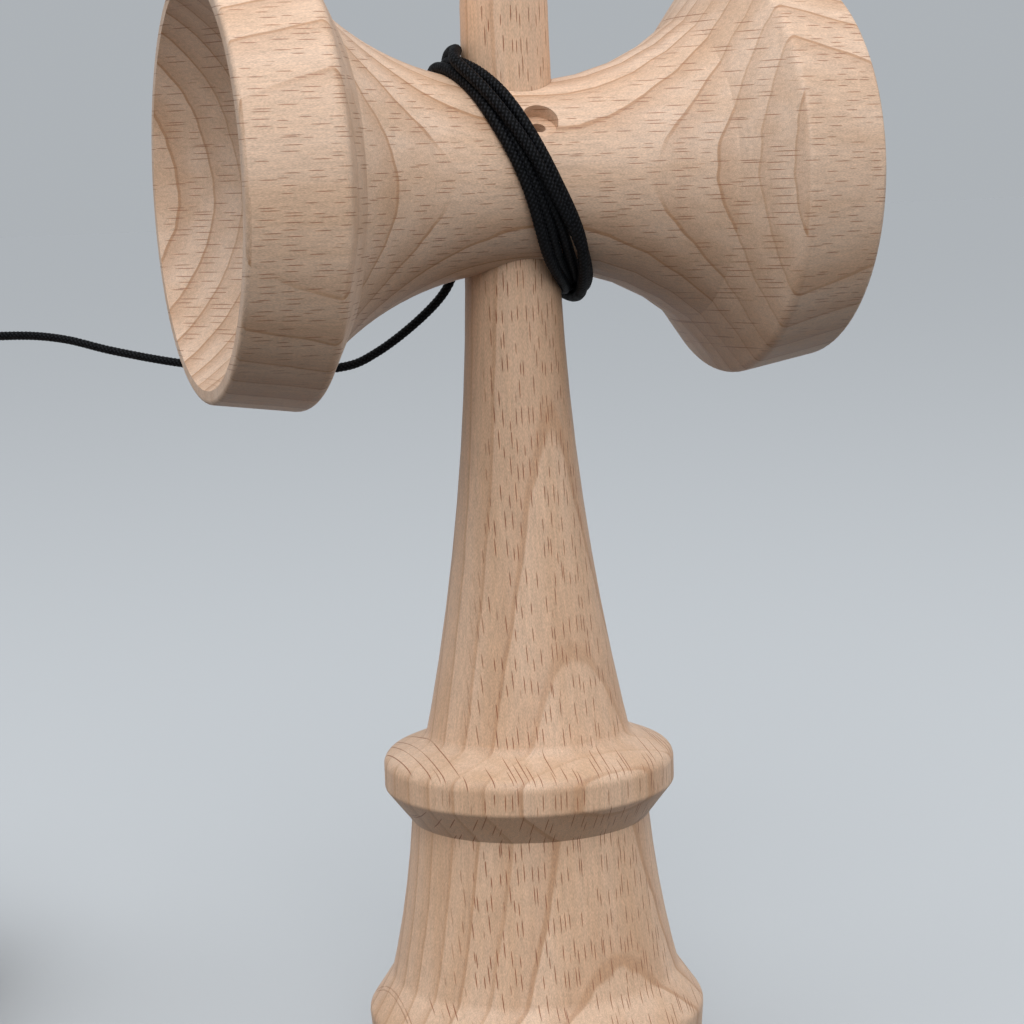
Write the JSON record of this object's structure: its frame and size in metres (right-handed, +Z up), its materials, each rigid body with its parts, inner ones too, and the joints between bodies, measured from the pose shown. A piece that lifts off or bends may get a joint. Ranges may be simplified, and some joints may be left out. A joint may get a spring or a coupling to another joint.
{
  "type": "kendama",
  "caption": "Turned wooden skill toy: spiked handle with a base cup, crosspiece with a cup at each end, and a drilled ball on a string wound round the crossing.",
  "frame": {"origin": "centre of the base cup's rim, on the floor", "axes": "+Z up along the handle to the spike, X along the crosspiece with the small cup at +X and the big cup at -X, -Y towards the front"},
  "size_m": [0.1526, 0.1192, 0.182],
  "materials": {
    "beech": "sanded, unvarnished",
    "bead": "plain",
    "string": "braided, matt"
  },
  "bodies": {
    "ken": {"ken": "beech", "string_anchor_knot": "string"},
    "sarado": {"sarado": "beech", "string_winding": "string"},
    "string": {"string_run": "string", "tama_bead": "bead", "tama_knot": "string"},
    "tama": {"tama": "beech"}
  },
  "joints": [
    {"name": "sarado_lift", "type": "slide", "parent": "ken", "child": "sarado", "axis": [0, 0, 1], "range_m": [0, 0.066]},
    {"name": "string_swing", "type": "hinge", "parent": "sarado", "child": "string", "pos_m": [-0.00128, 0.01348, 0.104], "axis": [0, 0, -1], "range_deg": [0, 70]},
    {"name": "tama_spin", "type": "hinge", "parent": "string", "child": "tama", "pos_m": [-0.086, 0.064, 0.03], "axis": [0, 0, 1], "continuous": true}
  ]
}
